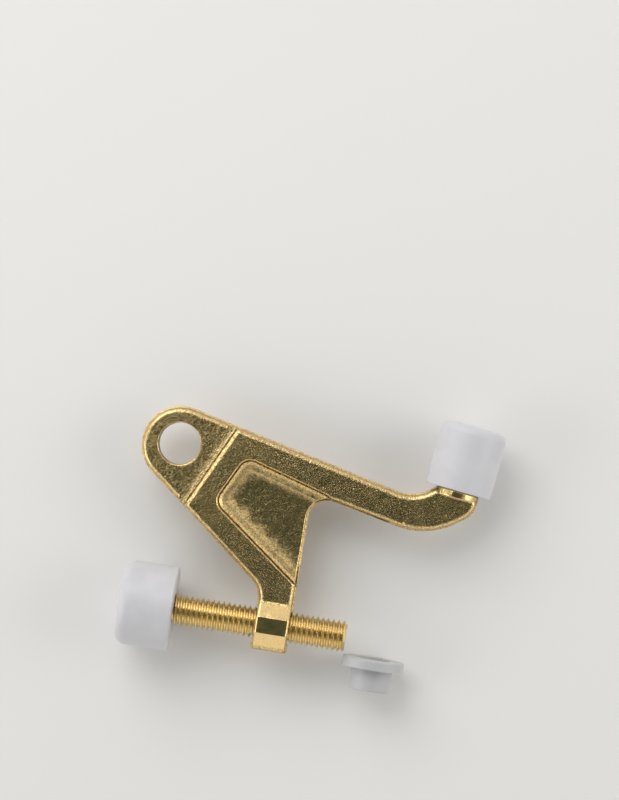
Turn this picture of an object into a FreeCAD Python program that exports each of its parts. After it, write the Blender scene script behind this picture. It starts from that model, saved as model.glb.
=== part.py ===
import FreeCAD, Part
import math
import os

# Hinge-pin door stop, lying flat. Millimetres.
# Origin: centre of the hinge-pin bore, on the casting's parting plane.
# +Z runs along the bore, X along the adjusting screw (its bumper faces -X), +Y towards the arm's cap.

Vector = FreeCAD.Vector
ORIGIN = Vector(0, 0, 0)
X_AXIS = Vector(1, 0, 0)
Y_AXIS = Vector(0, 1, 0)
Z_AXIS = Vector(0, 0, 1)

# ---- casting: thicknesses, as half heights above the parting plane ----
BODY_HALF = 2.8
EYE_HALF = 2.1
WEB_HALF = 1.3
RIM_ROUND = 0.95
WEB_RIM_ROUND = 0.4
RIDGE_HALF = 0.17
RIDGE_OUT = 0.35
RIDGE_ROUND = 0.12

# ---- casting: eye ----
BORE_RADIUS = 3.95
BORE_RIM_ROUND = 0.3
EYE_END_RADIUS = 7.1
EYE_END_CENTRE = Vector(0.15, -0.3, 0)
STEP_ANGLE = 154.2
STEP_DISTANCE = 7.3
STEP_TOP_CORNER = 0.4
STEP_BOTTOM_CORNER = 0.9
COVE_REACH = 1.7
COVE_RADIUS = 4.0

# ---- casting: sides of the plan outline, each an outward normal in degrees and a distance ----
ARM_TOP_ANGLE = 77.0
UNDER_EYE_ANGLE = 232.0
LEG_LEFT_X = 19.45
LEG_RIGHT_X = 25.85
ARM_UNDER_ANGLE = 258.0
ARM_UNDER_DISTANCE = -0.44
FOOT_UNDER_ANGLE = 306.0
FOOT_UNDER_DISTANCE = 36.83
FOOT_END_ANGLE = 346.0
FOOT_END_DISTANCE = 55.87
FOOT_BACK_ANGLE = 128.0
FOOT_BACK_DISTANCE = -30.75

# ---- casting: radii where those sides meet ----
LEG_BEND = 4.8
WEB_BEND = 4.0
ARM_BEND = 14.0
FOOT_TOE = 4.0
FOOT_CORNER = 1.2
FOOT_HEEL = 1.0
ARM_SWEEP = 8.0

# ---- casting: pocket round the web ----
POCKET_CORNERS = [
    (12.77, -0.46, 2.5),
    (8.10, -9.83, 2.5),
    (31.20, -27.05, 0),
    (33.50, -27.05, 0),
    (33.50, -7.90, 0),
    (29.00, -5.12, 3.0),
]
POCKET_COVE = 1.7

# ---- casting: threaded boss ----
SCREW_Y = -31.1
BOSS_HALF_HEIGHT = 4.6
BOSS_HALF_FLAT = 1.5
BOSS_HALF_WIDTH = 4.7
BOSS_SHOULDER = 2.6
BOSS_LONG_ROUND = 0.3
BOSS_END_ROUND = 0.6

# ---- casting: seat and stud for the cap ----
CAP_TILT = 6.8
SEAT_CENTRE = Vector(53.19, -1.06, 0)
SEAT_RADIUS = 4.2
SEAT_HEIGHT = 0.5
SEAT_ROUND = 0.25
STUD_RADIUS = 3.2
STUD_LENGTH = 8.0
STUD_CHAMFER = 0.6

# ---- cap on the arm ----
CAP_RADIUS = 6.35
CAP_LENGTH = 12.55
CAP_BELLY = 0.1
CAP_TOP_ROUND = 1.8
CAP_RIM_ROUND = 0.2
CAP_HOLE_DEPTH = 9.0

# ---- adjusting screw, M6 x 1, right hand ----
PITCH = 1.0
THREAD_RADIUS = 3.0
ROOT_RADIUS = 2.385
CREST_HALF = 0.0625
FLANK_ANGLE = 30.0
THREAD_START = 3.8
THREAD_END = 36.7
END_CHAMFER = 0.45
SHANK_RADIUS = 2.6
SHANK_LENGTH = 7.2
SHANK_CHAMFER = 0.4

# ---- the screw's hole in the boss, plain and just clear of the crests ----
SCREW_HOLE_RADIUS = 3.08

# ---- bumper on the screw ----
BUMPER_RADIUS = 8.0
BUMPER_BACK = 3.75
BUMPER_FRONT = -6.9
BUMPER_DOME = 0.5
BUMPER_FRONT_ROUND = 2.0
BUMPER_BACK_ROUND = 0.3
SHANK_ROOM = 0.04

# ---- loose bushing that lowers the bore to a thinner hinge pin ----
BUSHING_CENTRE = Vector(42.6, -36.3, -2.1)
FLANGE_RADIUS = 5.9
FLANGE_THICKNESS = 1.8
BARREL_RADIUS = 3.9
BARREL_LENGTH = 4.2
BUSHING_BORE = 3.25
BUSHING_ROUND = 0.3


def direction(angle):
    """A unit vector in the plan, at this many degrees from +X."""
    return Vector(math.cos(math.radians(angle)), math.sin(math.radians(angle)), 0)


def meeting_point(first, second):
    """Where two sides of the plan outline cross."""
    a = direction(first["angle"])
    b = direction(second["angle"])
    cross = a.x * b.y - a.y * b.x
    x = (first["distance"] * b.y - second["distance"] * a.y) / cross
    y = (a.x * second["distance"] - b.x * first["distance"]) / cross
    return Vector(x, y, 0)


def rounded_outline(corners):
    """A closed wire through (point, radius) corners, each rounded by a tangent arc."""
    starts = []
    ends = []
    middles = []
    count = len(corners)
    for i, (point, radius) in enumerate(corners):
        to_last = (corners[i - 1][0] - point).normalize()
        to_next = (corners[(i + 1) % count][0] - point).normalize()
        half = to_last.getAngle(to_next) / 2
        reach = radius / math.tan(half)
        bisector = (to_last + to_next).normalize()
        starts.append(point + to_last * reach)
        ends.append(point + to_next * reach)
        middles.append(point + bisector * (radius / math.sin(half) - radius))
    edges = []
    for i in range(count):
        if corners[i][1] > 0:
            edges.append(Part.Arc(starts[i], middles[i], ends[i]).toShape())
        edges.append(Part.LineSegment(ends[i], starts[(i + 1) % count]).toShape())
    return Part.Wire(edges)


def side(angle, distance, corner=0):
    """One side of the plan outline, and the radius of the corner where it ends."""
    return {"angle": angle, "distance": distance, "corner": corner}


def outline_of(sides):
    """The wire whose sides are these, in order."""
    corners = []
    for i, one in enumerate(sides):
        other = sides[(i + 1) % len(sides)]
        corners.append((meeting_point(one, other), one["corner"]))
    return rounded_outline(corners)


def casting_sides(leg_end, leg_corner, grow=0):
    """The casting's whole outline, anticlockwise from the edge under the eye, grown by this much."""
    under_eye = EYE_END_CENTRE.dot(direction(UNDER_EYE_ANGLE)) + EYE_END_RADIUS
    arm_top = EYE_END_CENTRE.dot(direction(ARM_TOP_ANGLE)) + EYE_END_RADIUS
    return [
        side(UNDER_EYE_ANGLE, under_eye + grow, LEG_BEND - grow),
        side(180, grow - LEG_LEFT_X, leg_corner),
        side(270, leg_end + grow, leg_corner),
        side(0, LEG_RIGHT_X + grow, WEB_BEND - grow),
        side(ARM_UNDER_ANGLE, ARM_UNDER_DISTANCE + grow, ARM_BEND + grow),
        side(FOOT_UNDER_ANGLE, FOOT_UNDER_DISTANCE + grow, FOOT_TOE + grow),
        side(FOOT_END_ANGLE, FOOT_END_DISTANCE + grow, FOOT_CORNER + grow),
        side(90 - CAP_TILT, SEAT_CENTRE.dot(cap_axis()) + grow, FOOT_HEEL + grow),
        side(FOOT_BACK_ANGLE, FOOT_BACK_DISTANCE + grow, ARM_SWEEP - grow),
        side(ARM_TOP_ANGLE, arm_top + grow, EYE_END_RADIUS + grow),
    ]


def plate(outline, half, rim):
    """A plate of this outline, half above and half below the parting plane, with rounded rims."""
    blank = Part.Face(outline).extrude(Z_AXIS * (2 * half)).translate(-Z_AXIS * half)
    return blank.makeFillet(rim, level_edges(blank, half))


def level_edges(shape, half):
    """The edges that lie at this height above or below the parting plane."""
    found = []
    for edge in shape.Edges:
        box = edge.BoundBox
        for height in (-half, half):
            if abs(box.ZMin - height) < 1e-4 and abs(box.ZMax - height) < 1e-4:
                found.append(edge)
    return found


def both_faces(shape):
    """A shape and its mirror image below the parting plane."""
    return [shape, shape.mirror(ORIGIN, Z_AXIS)]


def eye():
    """The thinner plate round the bore. It runs a little way into the body."""
    whole = plate(outline_of(casting_sides(-SCREW_Y, 0)), EYE_HALF, RIM_ROUND)
    return whole.common(strip_before_step(-30, STEP_DISTANCE + 1.2, 2 * EYE_HALF))


def strip_before_step(start, end, height):
    """A block that spans these distances from the bore, measured square to the step."""
    block = Part.makeBox(end - start, 60, height, Vector(start, -30, -height / 2))
    return block.rotate(ORIGIN, Z_AXIS, STEP_ANGLE - 180)


def step_cove():
    """The hollow that leads from the eye's face up to the body's end, on both faces."""
    foot = STEP_DISTANCE - COVE_REACH
    top = STEP_DISTANCE + 0.3
    rise = COVE_RADIUS - math.sqrt(COVE_RADIUS**2 - (top - foot) ** 2)
    middle = foot + (top - foot) / 2
    middle_rise = COVE_RADIUS - math.sqrt(COVE_RADIUS**2 - (middle - foot) ** 2)
    low = EYE_HALF - RIM_ROUND
    curve = Part.Arc(
        Vector(foot, 0, EYE_HALF),
        Vector(middle, 0, EYE_HALF + middle_rise),
        Vector(top, 0, EYE_HALF + rise),
    )
    straight = Part.makePolygon(
        [
            Vector(top, 0, EYE_HALF + rise),
            Vector(top, 0, low),
            Vector(foot, 0, low),
            Vector(foot, 0, EYE_HALF),
        ]
    )
    section = Part.Face(Part.Wire([curve.toShape(), *straight.Edges]))
    strip = section.extrude(Y_AXIS * 60).translate(-Y_AXIS * 30)
    strip.rotate(ORIGIN, Z_AXIS, STEP_ANGLE - 180)
    full = plate(outline_of(casting_sides(-SCREW_Y, 0)), BODY_HALF, RIM_ROUND)
    return [full.common(one) for one in both_faces(strip)]


def body():
    """Arm, foot, leg and web at full thickness, from the step onwards."""
    sides = casting_sides(-SCREW_Y, 0)
    sides[-1]["corner"] = STEP_TOP_CORNER
    step = side(STEP_ANGLE, -STEP_DISTANCE, STEP_BOTTOM_CORNER)
    return plate(outline_of([*sides, step]), BODY_HALF, RIM_ROUND)


def pocket():
    """What the cove-sided pocket removes above the web."""
    outline = rounded_outline([(Vector(x, y, 0), radius) for x, y, radius in POCKET_CORNERS])
    blank = Part.Face(outline).extrude(Z_AXIS * (2 * BODY_HALF))
    floor = level_edges(blank, 0)
    return blank.makeFillet(POCKET_COVE, floor).translate(Z_AXIS * WEB_HALF)


def web_rims(solid):
    """The web's rims up the right-hand side and round the bend. The pocket's rims run on from them."""
    return [edge for edge in level_edges(solid, WEB_HALF) if edge.BoundBox.XMin > LEG_RIGHT_X - 1e-3]


def parting_ridge():
    """The thin ridge that the two halves of the die leave all round."""
    sides = casting_sides(BOSS_HALF_WIDTH - SCREW_Y, BOSS_END_ROUND, RIDGE_OUT)
    return plate(outline_of(sides), RIDGE_HALF, RIDGE_ROUND)


def boss():
    """The faceted end of the leg, round the screw's axis."""
    quarter = [
        (BOSS_HALF_WIDTH, BOSS_SHOULDER),
        (BOSS_HALF_FLAT, BOSS_HALF_HEIGHT),
    ]
    above = quarter + [(-y, z) for y, z in reversed(quarter)]
    around = above + [(y, -z) for y, z in reversed(above)]
    points = [Vector(LEG_LEFT_X, SCREW_Y + y, z) for y, z in around]
    prism = Part.Face(Part.makePolygon([*points, points[0]])).extrude(X_AXIS * (LEG_RIGHT_X - LEG_LEFT_X))
    long_edges = [edge for edge in prism.Edges if edge.BoundBox.XLength > 1]
    prism = prism.makeFillet(BOSS_LONG_ROUND, long_edges)
    end_edges = [edge for edge in prism.Edges if edge.BoundBox.XLength < 1e-4]
    return prism.makeFillet(BOSS_END_ROUND, end_edges)


def cap_axis():
    """The direction in which the stud and its cap point."""
    return direction(90 - CAP_TILT)


def seat_and_stud():
    """The round seat on the foot, and the stud that the cap is pushed on."""
    axis = cap_axis()
    seat = Part.makeCylinder(SEAT_RADIUS, SEAT_HEIGHT + RIM_ROUND, SEAT_CENTRE - axis * RIM_ROUND, axis)
    seat = seat.makeFillet(SEAT_ROUND, round_edges(seat, SEAT_RADIUS))
    stud = Part.makeCylinder(STUD_RADIUS, SEAT_HEIGHT + STUD_LENGTH, SEAT_CENTRE, axis)
    tip = SEAT_CENTRE + axis * (SEAT_HEIGHT + STUD_LENGTH)
    tip_edges = [edge for edge in round_edges(stud, STUD_RADIUS) if edge.Curve.Center.distanceToPoint(tip) < 0.1]
    return [seat, stud.makeChamfer(STUD_CHAMFER, tip_edges)]


def round_edges(shape, radius):
    """The full circles of this radius among a shape's edges."""
    found = []
    for edge in shape.Edges:
        if isinstance(edge.Curve, Part.Circle) and abs(edge.Curve.Radius - radius) < 1e-4:
            found.append(edge)
    return found


def threaded_bar(start, end, crest_radius, root_radius, crest_half, chamfer=0):
    """A right-hand threaded bar on the screw's axis."""
    buried = root_radius - 0.2
    half_base = crest_half + (crest_radius - buried) * math.tan(math.radians(FLANK_ANGLE))
    run = end - start + 2 * PITCH
    tooth = Part.makePolygon(
        [
            Vector(buried, 0, -half_base),
            Vector(crest_radius, 0, -crest_half),
            Vector(crest_radius, 0, crest_half),
            Vector(buried, 0, half_base),
            Vector(buried, 0, -half_base),
        ]
    )
    helix = Part.Wire(Part.makeHelix(PITCH, run, root_radius))
    ridge = helix.makePipeShell([tooth], True, True)
    bar = Part.makeCylinder(root_radius, run).fuse(ridge)
    keep = Part.makeCylinder(crest_radius + PITCH / 2, end - start, Z_AXIS * PITCH)
    if chamfer:
        last_edges = [edge for edge in keep.Edges if edge.BoundBox.ZMin > end - start]
        keep = keep.makeChamfer(chamfer + PITCH / 2, last_edges)
    bar = bar.common(keep)
    bar.translate(-Z_AXIS * PITCH)
    bar.rotate(ORIGIN, Y_AXIS, 90)
    return bar.translate(Vector(start, SCREW_Y, 0))


def screw_hole():
    """What the screw's hole removes from the boss, running on past both of its sides."""
    start = Vector(LEG_LEFT_X - PITCH, SCREW_Y, 0)
    return Part.makeCylinder(SCREW_HOLE_RADIUS, LEG_RIGHT_X - LEG_LEFT_X + 2 * PITCH, start, X_AXIS)


def bracket():
    """The die-cast bracket, one piece from the eye to the boss and the cap's stud."""
    solid = body()
    for cutter in both_faces(pocket()):
        solid = solid.cut(cutter)
    solid = solid.makeFillet(WEB_RIM_ROUND, web_rims(solid))
    for lump in [eye(), *step_cove(), boss(), *seat_and_stud(), parting_ridge()]:
        solid = solid.fuse(lump)
    solid = solid.cut(Part.makeCylinder(BORE_RADIUS, 4 * EYE_HALF, -Z_AXIS * 2 * EYE_HALF))
    solid = solid.removeSplitter()
    rims = [edge for edge in level_edges(solid, EYE_HALF) if edge.BoundBox.XLength < 2.01 * BORE_RADIUS]
    rims = [edge for edge in rims if abs(edge.BoundBox.Center.x) < 1e-3]
    solid = solid.makeFillet(BORE_RIM_ROUND, rims)
    return solid.cut(screw_hole())


def turned(profile, start, axis):
    """A solid turned from a closed profile of (distance along the axis, radius) edges, moved into place."""
    solid = Part.Face(Part.Wire(profile)).revolve(ORIGIN, X_AXIS, 360)
    turn = FreeCAD.Rotation(X_AXIS, axis)
    solid.Placement = FreeCAD.Placement(start, turn)
    return solid


def line(x1, r1, x2, r2):
    """A straight stretch of a turned profile."""
    return Part.LineSegment(Vector(x1, r1, 0), Vector(x2, r2, 0)).toShape()


def curve(x1, r1, x2, r2, x3, r3):
    """A round stretch of a turned profile, through three points."""
    return Part.Arc(Vector(x1, r1, 0), Vector(x2, r2, 0), Vector(x3, r3, 0)).toShape()


def quarter(x1, r1, x2, r2, centre_x, centre_r):
    """A quarter circle of a turned profile, about its centre."""
    radius = math.hypot(x1 - centre_x, r1 - centre_r)
    mid_x = (x1 + x2) / 2 - centre_x
    mid_r = (r1 + r2) / 2 - centre_r
    scale = radius / math.hypot(mid_x, mid_r)
    return curve(x1, r1, centre_x + mid_x * scale, centre_r + mid_r * scale, x2, r2)


def arm_cap():
    """The bumper cap on the arm: a slightly bellied cup, open towards the seat."""
    rim = CAP_RIM_ROUND
    top = CAP_LENGTH - CAP_TOP_ROUND
    foot_radius = CAP_RADIUS - CAP_BELLY
    flat = foot_radius - CAP_TOP_ROUND
    profile = [
        line(0, STUD_RADIUS, 0, foot_radius - rim),
        quarter(0, foot_radius - rim, rim, foot_radius, rim, foot_radius - rim),
        curve(rim, foot_radius, (rim + top) / 2, CAP_RADIUS, top, foot_radius),
        quarter(top, foot_radius, CAP_LENGTH, flat, top, flat),
        line(CAP_LENGTH, flat, CAP_LENGTH, 0),
        line(CAP_LENGTH, 0, CAP_HOLE_DEPTH, 0),
        line(CAP_HOLE_DEPTH, 0, CAP_HOLE_DEPTH, STUD_RADIUS),
        line(CAP_HOLE_DEPTH, STUD_RADIUS, 0, STUD_RADIUS),
    ]
    return turned(profile, SEAT_CENTRE + cap_axis() * SEAT_HEIGHT, cap_axis())


def adjusting_screw():
    """The threaded rod, chamfered at its free end, with a plain shank inside its bumper."""
    bar = threaded_bar(THREAD_START, THREAD_END, THREAD_RADIUS, ROOT_RADIUS, CREST_HALF, END_CHAMFER)
    start = Vector(THREAD_START, SCREW_Y, 0)
    profile = [
        line(-SHANK_LENGTH, 0, -SHANK_LENGTH, SHANK_RADIUS - SHANK_CHAMFER),
        line(-SHANK_LENGTH, SHANK_RADIUS - SHANK_CHAMFER, SHANK_CHAMFER - SHANK_LENGTH, SHANK_RADIUS),
        line(SHANK_CHAMFER - SHANK_LENGTH, SHANK_RADIUS, 0, SHANK_RADIUS),
        line(0, SHANK_RADIUS, 0, 0),
        line(0, 0, -SHANK_LENGTH, 0),
    ]
    return bar.fuse(turned(profile, start, X_AXIS))


def screw_bumper():
    """The large bumper on the screw's end, domed in front, with a blind hole for the shank."""
    hole = SHANK_RADIUS + SHANK_ROOM
    depth = BUMPER_BACK - (THREAD_START - SHANK_LENGTH) + SHANK_ROOM
    length = BUMPER_BACK - BUMPER_FRONT
    shoulder = length - BUMPER_DOME
    flat = BUMPER_RADIUS - BUMPER_FRONT_ROUND
    back = BUMPER_BACK_ROUND
    dome_radius = (flat**2 + BUMPER_DOME**2) / (2 * BUMPER_DOME)
    half_flat = flat / 2
    half_drop = dome_radius - math.sqrt(dome_radius**2 - half_flat**2)
    profile = [
        line(0, hole, 0, BUMPER_RADIUS - back),
        quarter(0, BUMPER_RADIUS - back, back, BUMPER_RADIUS, back, BUMPER_RADIUS - back),
        line(back, BUMPER_RADIUS, shoulder - BUMPER_FRONT_ROUND, BUMPER_RADIUS),
        quarter(
            shoulder - BUMPER_FRONT_ROUND,
            BUMPER_RADIUS,
            shoulder,
            flat,
            shoulder - BUMPER_FRONT_ROUND,
            flat,
        ),
        curve(shoulder, flat, length - half_drop, half_flat, length, 0),
        line(length, 0, depth, 0),
        line(depth, 0, depth, hole),
        line(depth, hole, 0, hole),
    ]
    return turned(profile, Vector(BUMPER_BACK, SCREW_Y, 0), -X_AXIS)


def pin_bushing():
    """The loose flanged bushing, lying on its side with its flange towards the arm."""
    edge = BUSHING_ROUND
    start = -BARREL_LENGTH
    profile = [
        line(start, BUSHING_BORE, start, BARREL_RADIUS - edge),
        quarter(start, BARREL_RADIUS - edge, start + edge, BARREL_RADIUS, start + edge, BARREL_RADIUS - edge),
        line(start + edge, BARREL_RADIUS, 0, BARREL_RADIUS),
        line(0, BARREL_RADIUS, 0, FLANGE_RADIUS),
        line(0, FLANGE_RADIUS, FLANGE_THICKNESS - edge, FLANGE_RADIUS),
        quarter(
            FLANGE_THICKNESS - edge,
            FLANGE_RADIUS,
            FLANGE_THICKNESS,
            FLANGE_RADIUS - edge,
            FLANGE_THICKNESS - edge,
            FLANGE_RADIUS - edge,
        ),
        line(FLANGE_THICKNESS, FLANGE_RADIUS - edge, FLANGE_THICKNESS, BUSHING_BORE),
        line(FLANGE_THICKNESS, BUSHING_BORE, start, BUSHING_BORE),
    ]
    return turned(profile, BUSHING_CENTRE, Y_AXIS)


NODES = {
    "bracket": bracket,
    "arm_cap": arm_cap,
    "adjusting_screw": adjusting_screw,
    "screw_bumper": screw_bumper,
    "pin_bushing": pin_bushing,
}

os.makedirs("parts", exist_ok=True)
for name, make in NODES.items():
    shape = make()
    solids = shape.Solids
    if len(solids) != 1 or not solids[0].isValid():
        raise ValueError(f"{name} has {len(solids)} solids, valid: {shape.isValid()}")
    solids[0].exportStep(f"parts/{name}.step")
    box = solids[0].BoundBox
    print(f"{name}: {solids[0].Volume:.1f} mm3, x {box.XMin:.2f} to {box.XMax:.2f}, "
          f"y {box.YMin:.2f} to {box.YMax:.2f}, z {box.ZMin:.2f} to {box.ZMax:.2f}")
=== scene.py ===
import math
import random

import bpy
import numpy as np
from mathutils import Matrix, Vector, noise


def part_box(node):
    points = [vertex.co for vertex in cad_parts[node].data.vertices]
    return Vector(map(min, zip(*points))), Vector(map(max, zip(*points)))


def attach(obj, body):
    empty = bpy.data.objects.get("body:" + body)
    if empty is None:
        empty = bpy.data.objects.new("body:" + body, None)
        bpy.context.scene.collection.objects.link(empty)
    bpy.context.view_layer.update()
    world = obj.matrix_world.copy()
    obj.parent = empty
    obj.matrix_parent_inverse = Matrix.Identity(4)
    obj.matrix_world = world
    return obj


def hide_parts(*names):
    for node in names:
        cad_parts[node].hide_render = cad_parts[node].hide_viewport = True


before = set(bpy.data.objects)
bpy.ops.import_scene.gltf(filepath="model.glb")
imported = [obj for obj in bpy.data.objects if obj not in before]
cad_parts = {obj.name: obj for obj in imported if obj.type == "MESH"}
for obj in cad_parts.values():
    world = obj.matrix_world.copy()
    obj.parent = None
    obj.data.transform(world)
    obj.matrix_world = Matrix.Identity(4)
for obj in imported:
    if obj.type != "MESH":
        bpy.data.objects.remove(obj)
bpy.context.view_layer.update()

MM = 0.001

# ---- the view: millimetres and degrees ----
FRAME_HEIGHT = 150.7
CAMERA_DISTANCE = 500.0
SENSOR = 36.0
CAMERA_TILT = 0.8
CAMERA_LEAN = 1.2
CAMERA_ROLL = 9.1
EYE_FACE = Vector((0.0, 0.0, 2.1))
RIGHT_OF_EYE = 24.52
ABOVE_EYE = 8.17

# ---- colours, linear ----
BRASS_TINT = (0.87, 0.635, 0.29, 1.0)
SCREW_TINT = (0.88, 0.70, 0.36, 1.0)
WHITE_TINT = (0.62, 0.61, 0.635, 1.0)
NYLON_TINT = (0.50, 0.50, 0.51, 1.0)
FLOOR_TINT = (0.80, 0.79, 0.78, 1.0)
HORIZON = (0.95, 0.94, 0.92, 1.0)
OVERHEAD = (0.058, 0.074, 0.062, 1.0)
# where the lights point, in metres
LIT_POINT = Vector((0.025, -0.01, 0.0))

# ---- the casting's unevenness: millimetres ----
SKIN_VOXEL = 0.09
SMOOTHING_STEPS = 3
CAST_BELOW = 1.6
POLISHED_ABOVE = 2.0
BOSS_ABOVE = 2.9
BOSS_BLEND = 0.2
WAVE_LENGTH = 2.4
WAVE_DEPTH = 0.05
RIPPLE_LENGTH = 0.75
RIPPLE_DEPTH = 0.022
ROUGH_LENGTH = 0.95
ROUGH_DEPTH = 0.06
# a nick on the arm: x, y, reach along x, reach along y, depth
NICK = (44.05, -8.25, 0.10, 0.38, 0.14)
MARKS_SEED = 11
DENTS = 130
BURRS = 16
LEG_EDGE = (Vector((3.6, -11.9, 0.0)), Vector((17.9, -23.0, 0.0)))

# ---- the web's dished edges and upper corner: a point on each, the way inwards, and the dish's reach ----
POCKET_EDGES = [
    (Vector((8.10, -9.83, 0.0)), Vector((0.895, -0.446, 0.0)), 4.4),
    (Vector((8.10, -9.83, 0.0)), Vector((0.598, 0.802, 0.0)), 5.1),
    (Vector((12.77, -0.46, 0.0)), Vector((-0.276, -0.961, 0.0)), 3.4),
    (Vector((12.77, -0.46, 0.0)), Vector((0.403, -0.915, 0.0)), 7.0),
]
POCKET_COVE = 1.7
DISH_RISE = 0.42
# the frost on the dish: full up to this share of its reach, gone at that share, and how it breaks up
FROST_FULL = 0.35
FROST_GONE = 0.95
FROST_BREAK = 3.0
FROST_SHIFT = -1.75

# ---- the step between the eye and the body: its direction and distances from the bore, and its depths ----
STEP_DIRECTION = Vector((0.9003, -0.4352, 0.0))
STEP_COVE_START = 5.6
STEP_CREASE = 7.36
STEP_COVE_DROP = 0.20
STEP_CREASE_DEPTH = 0.13
STEP_CREASE_REACH = 0.13


# ---------------------------------------------------------------- node helpers
def new_material(name):
    """An empty node material with a Principled shader, and its tree and shader."""
    material = bpy.data.materials.new(name)
    material.use_nodes = True
    tree = material.node_tree
    return material, tree, tree.nodes["Principled BSDF"]


def add(tree, kind, **values):
    """A node of this kind, with these inputs set."""
    node = tree.nodes.new(kind)
    for name, value in values.items():
        node.inputs[name.replace("_", " ")].default_value = value
    return node


def grain(tree, coordinates, scale, detail=2.0, roughness=0.5):
    """A noise texture over the object's own coordinates; scale is features per metre."""
    node = add(tree, "ShaderNodeTexNoise", Scale=scale, Detail=detail, Roughness=roughness)
    tree.links.new(coordinates, node.inputs["Vector"])
    return node.outputs["Fac"]


def object_coordinates(tree):
    """The object's own coordinates, in metres."""
    return tree.nodes.new("ShaderNodeTexCoord").outputs["Object"]


def bump(tree, height, distance, before=None):
    """A bump of this height map, in metres, on top of an earlier one."""
    node = add(tree, "ShaderNodeBump", Strength=1.0, Distance=distance)
    tree.links.new(height, node.inputs["Height"])
    if before:
        tree.links.new(before, node.inputs["Normal"])
    return node.outputs["Normal"]


def ramp(tree, value, stops):
    """A colour ramp through (position, colour) stops."""
    node = tree.nodes.new("ShaderNodeValToRGB")
    for stop, (position, colour) in zip(node.color_ramp.elements, stops):
        stop.position = position
        stop.color = colour
    tree.links.new(value, node.inputs["Fac"])
    return node.outputs["Color"]


def grey(level):
    """A grey colour."""
    return (level, level, level, 1.0)


def dimmed(tint, level):
    """The tint at this share of its brightness."""
    return tuple(level * part for part in tint[:3]) + (1.0,)


def mix(tree, factor, first, second):
    """One value where the factor is 0 and the other where it is 1."""
    node = tree.nodes.new("ShaderNodeMix")
    tree.links.new(factor, node.inputs["Factor"])
    tree.links.new(first, node.inputs["A"])
    tree.links.new(second, node.inputs["B"])
    return node.outputs["Result"]


def mix_colours(tree, factor, first, second):
    """The first colour where the factor is 0 and the second where it is 1."""
    node = tree.nodes.new("ShaderNodeMix")
    node.data_type = "RGBA"
    tree.links.new(factor, node.inputs["Factor"])
    tree.links.new(first, node.inputs[6])
    tree.links.new(second, node.inputs[7])
    return node.outputs[2]


def mix_normals(tree, factor, first, second):
    """The first normal where the factor is 0 and the second where it is 1."""
    blend = tree.nodes.new("ShaderNodeMix")
    blend.data_type = "VECTOR"
    tree.links.new(factor, blend.inputs["Factor"])
    tree.links.new(first, blend.inputs[4])
    tree.links.new(second, blend.inputs[5])
    return blend.outputs[1]


def upright_part(tree, vector):
    """How large a vector's Z is, up or down."""
    split = tree.nodes.new("ShaderNodeSeparateXYZ")
    tree.links.new(vector, split.inputs["Vector"])
    size = tree.nodes.new("ShaderNodeMath")
    size.operation = "ABSOLUTE"
    tree.links.new(split.outputs["Z"], size.inputs[0])
    return size.outputs["Value"]


def rising(tree, value, start, end):
    """0 where the value is at start, 1 where it is at end, and between them evenly in between."""
    spread = tree.nodes.new("ShaderNodeMapRange")
    spread.inputs["From Min"].default_value = start
    spread.inputs["From Max"].default_value = end
    tree.links.new(value, spread.inputs["Value"])
    return spread.outputs["Result"]


# ---------------------------------------------------------------- materials
def as_cast(tree, where):
    """1 on the casting's recesses and walls, which the belt never touched, and 0 on its polished faces."""
    return rising(tree, upright_part(tree, where), POLISHED_ABOVE * MM, CAST_BELOW * MM)


def proud(tree, where):
    """1 on the boss's own faces, which stand above the arm and are smooth, and 0 below them."""
    return rising(tree, upright_part(tree, where), BOSS_ABOVE * MM, (BOSS_ABOVE + BOSS_BLEND) * MM)


def frosted(tree, where, patches):
    """1 on the dished edges of the web and everywhere beyond them, fading unevenly to 0 further in."""
    worn = None
    for point, inwards, reach in POCKET_EDGES:
        along = tree.nodes.new("ShaderNodeVectorMath")
        along.operation = "DOT_PRODUCT"
        along.inputs[1].default_value = inwards
        tree.links.new(where, along.inputs[0])
        edge = point.dot(inwards)
        inner = (edge + FROST_GONE * reach) * MM
        outer = (edge + FROST_FULL * reach) * MM
        near_edge = rising(tree, along.outputs["Value"], inner, outer)
        if worn is None:
            worn = near_edge
            continue
        larger = tree.nodes.new("ShaderNodeMath")
        larger.operation = "MAXIMUM"
        tree.links.new(worn, larger.inputs[0])
        tree.links.new(near_edge, larger.inputs[1])
        worn = larger.outputs["Value"]
    broken = tree.nodes.new("ShaderNodeMath")
    broken.operation = "MULTIPLY_ADD"
    tree.links.new(patches, broken.inputs[0])
    broken.inputs[1].default_value = FROST_BREAK
    broken.inputs[2].default_value = FROST_SHIFT
    together = tree.nodes.new("ShaderNodeMath")
    together.operation = "ADD"
    together.use_clamp = True
    tree.links.new(worn, together.inputs[0])
    tree.links.new(broken.outputs["Value"], together.inputs[1])
    return together.outputs["Value"]


def painted_shade_on_walls(tree, colour):
    """The colour, darkened with painted shade where the surface stands steeply, on the walls and the upper
    parts of the coves.
    """
    normal = tree.nodes.new("ShaderNodeTexCoord").outputs["Normal"]
    # painted shade: the steeper the surface, the darker its colour, down to 0.45 of it
    painted_wall_shade = ramp(tree, upright_part(tree, normal), [(0.22, grey(0.45)), (0.50, grey(1.0))])
    shaded = tree.nodes.new("ShaderNodeMix")
    shaded.data_type = "RGBA"
    shaded.blend_type = "MULTIPLY"
    shaded.inputs["Factor"].default_value = 1.0
    tree.links.new(colour, shaded.inputs[6])
    tree.links.new(painted_wall_shade, shaded.inputs[7])
    return shaded.outputs[2]


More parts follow.
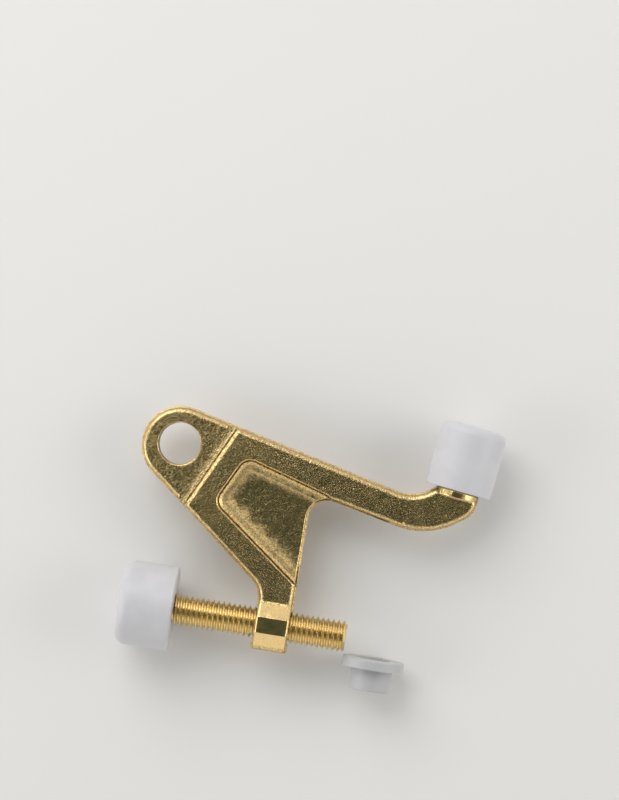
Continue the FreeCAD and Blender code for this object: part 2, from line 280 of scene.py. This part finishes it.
def plated_casting(name, tint):
    """Brass plating over die-cast metal: polished, finely pitted faces and satin recesses."""
    material, tree, shader = new_material(name)
    where = object_coordinates(tree)
    recess = as_cast(tree, where)
    shader.inputs["Metallic"].default_value = 1.0
    specks = grain(tree, where, 3600.0, 3.0, 0.7)
    speckled = ramp(tree, specks, [(0.40, dimmed(tint, 0.45)), (0.56, tint)])
    smooth = ramp(tree, specks, [(0.40, dimmed(tint, 0.88)), (0.56, tint)])
    boss = proud(tree, where)
    colour = mix_colours(tree, boss, speckled, smooth)
    # painted shade: the base colour goes darker on the steep walls and coves
    tree.links.new(painted_shade_on_walls(tree, colour), shader.inputs["Base Color"])
    patches = grain(tree, where, 520.0, 5.0, 0.7)
    frost = frosted(tree, where, patches)
    polished = ramp(tree, patches, [(0.35, grey(0.15)), (0.65, grey(0.27))])
    satin = ramp(tree, frost, [(0.15, grey(0.24)), (0.75, grey(0.55))])
    tree.links.new(mix(tree, recess, polished, satin), shader.inputs["Roughness"])
    peel = bump(tree, grain(tree, where, 1500.0, 1.0), 0.000016)
    pits = bump(tree, grain(tree, where, 4300.0, 3.0, 0.65), 0.000062, peel)
    hammered = bump(tree, grain(tree, where, 2300.0, 4.0, 0.75), 0.000052, peel)
    faces = mix_normals(tree, boss, pits, peel)
    tree.links.new(mix_normals(tree, recess, faces, hammered), shader.inputs["Normal"])
    return material


def plated_thread(name, tint):
    """Brass plating over a rolled thread."""
    material, tree, shader = new_material(name)
    where = object_coordinates(tree)
    shader.inputs["Metallic"].default_value = 1.0
    pitting = grain(tree, where, 3800.0, 2.0, 0.6)
    colour = ramp(tree, pitting, [(0.35, dimmed(tint, 0.85)), (0.60, tint)])
    tree.links.new(colour, shader.inputs["Base Color"])
    tree.links.new(ramp(tree, pitting, [(0.35, grey(0.34)), (0.65, grey(0.22))]), shader.inputs["Roughness"])
    tree.links.new(bump(tree, pitting, 0.000004), shader.inputs["Normal"])
    return material


def moulded_white(name, tint, roughness):
    """Smooth moulded elastomer or nylon, faintly mottled."""
    material, tree, shader = new_material(name)
    where = object_coordinates(tree)
    cloudy = grain(tree, where, 260.0, 3.0)
    colour = ramp(tree, cloudy, [(0.35, dimmed(tint, 0.95)), (0.65, tint)])
    tree.links.new(colour, shader.inputs["Base Color"])
    shader.inputs["Roughness"].default_value = roughness
    shader.inputs["Subsurface Weight"].default_value = 0.15
    shader.inputs["Subsurface Radius"].default_value = (0.002, 0.002, 0.002)
    fine = bump(tree, grain(tree, where, 4000.0, 2.0), 0.000004)
    tree.links.new(fine, shader.inputs["Normal"])
    return material


def floor_material():
    """Plain pale matt floor."""
    material, tree, shader = new_material("pale_floor")
    shader.inputs["Base Color"].default_value = FLOOR_TINT
    shader.inputs["Roughness"].default_value = 0.85
    return material


def dress(node_name, material):
    """Give a CAD node this material."""
    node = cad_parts[node_name]
    node.data.materials.clear()
    node.data.materials.append(material)


# ---------------------------------------------------------------- stage
def add_floor():
    """The surface that the stop lies on."""
    lowest = min(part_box(name)[0][2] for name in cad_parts)
    bpy.ops.mesh.primitive_plane_add(size=1.6, location=(0.03, -0.01, lowest))
    floor = bpy.context.object
    floor.name = "floor"
    floor.data.materials.append(floor_material())


def add_light(name, place, size, power):
    """A soft square area light, placed and sized in metres, and turned towards the object."""
    data = bpy.data.lights.new(name, "AREA")
    data.shape = "RECTANGLE"
    data.size = size
    data.size_y = size
    data.energy = power
    light = bpy.data.objects.new(name, data)
    light.location = place
    light.rotation_mode = "QUATERNION"
    light.rotation_quaternion = (LIT_POINT - Vector(place)).to_track_quat("-Z", "Y")
    bpy.context.collection.objects.link(light)


def add_world():
    """Soft surroundings, dark overhead and brighter towards the horizon."""
    world = bpy.data.worlds.new("studio")
    bpy.context.scene.world = world
    world.use_nodes = True
    tree = world.node_tree
    background = tree.nodes["Background"]
    where = tree.nodes.new("ShaderNodeTexCoord").outputs["Generated"]
    split = tree.nodes.new("ShaderNodeSeparateXYZ")
    tree.links.new(where, split.inputs["Vector"])
    shades = ramp(tree, split.outputs["Z"], [(0.45, HORIZON), (0.92, OVERHEAD)])
    tree.links.new(shades, background.inputs["Color"])
    background.inputs["Strength"].default_value = 1.0


def add_camera():
    """A long lens almost square to the flat faces, framed as the object lies in its picture."""
    roll = math.radians(CAMERA_ROLL)
    lean = math.tan(math.radians(CAMERA_LEAN))
    tilt = math.tan(math.radians(CAMERA_TILT))
    back = Vector((lean, -tilt, 1.0)).normalized()
    level = Vector((math.cos(roll), math.sin(roll), 0.0))
    right = (level - back * level.dot(back)).normalized()
    up = back.cross(right)
    aim = EYE_FACE + right * RIGHT_OF_EYE + up * ABOVE_EYE
    data = bpy.data.cameras.new("camera")
    data.sensor_width = SENSOR
    data.lens = SENSOR * CAMERA_DISTANCE / FRAME_HEIGHT
    data.clip_start = 0.01
    data.clip_end = 10.0
    camera = bpy.data.objects.new("camera", data)
    turn = Matrix((right, up, back)).transposed()
    place = (aim + back * CAMERA_DISTANCE) * MM
    camera.matrix_world = Matrix.Translation(place) @ turn.to_4x4()
    bpy.context.collection.objects.link(camera)
    bpy.context.scene.camera = camera


# ---------------------------------------------------------------- the object
def evenly_meshed(node_name, piece_name, voxel):
    """A new piece of a CAD node's shape, meshed in even small faces that can be displaced."""
    piece = bpy.data.objects.new(piece_name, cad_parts[node_name].data.copy())
    bpy.context.collection.objects.link(piece)
    remesh = piece.modifiers.new("even", "REMESH")
    remesh.mode = "VOXEL"
    remesh.voxel_size = voxel * MM
    remesh.use_smooth_shade = True
    soften = piece.modifiers.new("soften", "SMOOTH")
    soften.factor = 0.5
    soften.iterations = SMOOTHING_STEPS
    finished = piece.evaluated_get(bpy.context.evaluated_depsgraph_get())
    mesh = bpy.data.meshes.new_from_object(finished)
    piece.modifiers.clear()
    piece.data = mesh
    return piece


def unevenness(place):
    """How far a casting's surface lies inside its drawn shape here, in millimetres."""
    waves = 0.5 + 0.5 * noise.noise(place / WAVE_LENGTH)
    ripples = 0.5 + 0.5 * noise.noise(place / RIPPLE_LENGTH)
    depth = WAVE_DEPTH * waves + RIPPLE_DEPTH * ripples
    if abs(place.z) < CAST_BELOW:
        depth += ROUGH_DEPTH * (0.5 + 0.5 * noise.noise(place / ROUGH_LENGTH + Vector((40.0, 0.0, 0.0))))
    if abs(place.z) > POLISHED_ABOVE:
        depth += step_relief(place)
    return depth


def step_relief(place):
    """How much deeper the eye's face lies just before the step, and the crease at the step's foot."""
    away = place.dot(STEP_DIRECTION)
    if not STEP_COVE_START < away < STEP_CREASE + 3 * STEP_CREASE_REACH:
        return 0.0
    share = min(1.0, (away - STEP_COVE_START) / (STEP_CREASE - STEP_COVE_START))
    drop = STEP_COVE_DROP * share * share if away < STEP_CREASE else 0.0
    crease = STEP_CREASE_DEPTH * math.exp(-(((away - STEP_CREASE) / STEP_CREASE_REACH) ** 2))
    return drop + crease


def marks():
    """Where the polished faces are nicked: x, y, reach along x, reach along y and depth of each mark."""
    chooser = random.Random(MARKS_SEED)
    low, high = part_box("bracket")
    found = [NICK]
    for _ in range(DENTS):
        x = chooser.uniform(low[0], high[0]) / MM
        y = chooser.uniform(low[1], high[1]) / MM
        reach = chooser.uniform(0.07, 0.16)
        found.append((x, y, reach, reach * chooser.uniform(0.6, 1.8), chooser.uniform(0.03, 0.08)))
    start, end = LEG_EDGE
    for _ in range(BURRS):
        place = start.lerp(end, chooser.random())
        found.append((place.x, place.y, 0.10, chooser.uniform(0.18, 0.34), chooser.uniform(0.06, 0.12)))
    return found


def dish_rise(place):
    """How far the web's face rises here towards the pocket's edges, in millimetres."""
    rise = 0.0
    for point, inwards, reach in POCKET_EDGES:
        inside = (place - point).dot(inwards)
        if inside < 0.0:
            return 0.0
        share = min(1.0, max(0.0, (reach - inside) / (reach - POCKET_COVE)))
        rise = max(rise, DISH_RISE * share * share)
    return rise


def add_casting():
    """The bracket with a casting's unevenness and its web's dished edges, in place of its CAD node."""
    piece = evenly_meshed("bracket", "bracket_casting", SKIN_VOXEL)
    mesh = piece.data
    places = np.empty(len(mesh.vertices) * 3)
    mesh.vertices.foreach_get("co", places)
    places = places.reshape(-1, 3) / MM
    normals = np.empty(len(mesh.vertices) * 3)
    mesh.vertices.foreach_get("normal", normals)
    normals = normals.reshape(-1, 3)
    depth = np.array([unevenness(Vector(place)) for place in places])
    polished = np.abs(places[:, 2]) > POLISHED_ABOVE
    for x, y, reach_x, reach_y, deepest in marks():
        away = ((places[:, 0] - x) / reach_x) ** 2 + ((places[:, 1] - y) / reach_y) ** 2
        depth += polished * deepest * np.exp(-np.minimum(away, 30.0))
    moved = places - normals * depth[:, None]
    level = (np.abs(places[:, 2]) < POLISHED_ABOVE) & (np.abs(normals[:, 2]) > 0.5)
    for index in np.nonzero(level)[0]:
        rise = dish_rise(Vector((places[index, 0], places[index, 1], 0.0)))
        moved[index, 2] += math.copysign(rise, places[index, 2]) * abs(normals[index, 2])
    mesh.vertices.foreach_set("co", (moved * MM).ravel())
    mesh.update()
    mesh.materials.clear()
    mesh.materials.append(plated_casting("plated_casting", BRASS_TINT))
    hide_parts("bracket")
    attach(piece, "bracket")


def dress_object():
    """The pieces that keep their CAD shape get their finish."""
    white = moulded_white("white_bumper", WHITE_TINT, 0.42)
    dress("adjusting_screw", plated_thread("plated_screw", SCREW_TINT))
    dress("arm_cap", white)
    dress("screw_bumper", white)
    dress("pin_bushing", moulded_white("white_nylon", NYLON_TINT, 0.38))


add_camera()
add_world()
add_floor()
add_light("key", (-0.25, 0.35, 0.45), 0.50, 2.0)
add_light("left_fill", (-0.50, -0.20, 0.25), 0.35, 0.7)
add_light("right_fill", (0.50, 0.10, 0.25), 0.35, 0.7)
add_casting()
dress_object()
bpy.context.scene.view_settings.view_transform = "Standard"
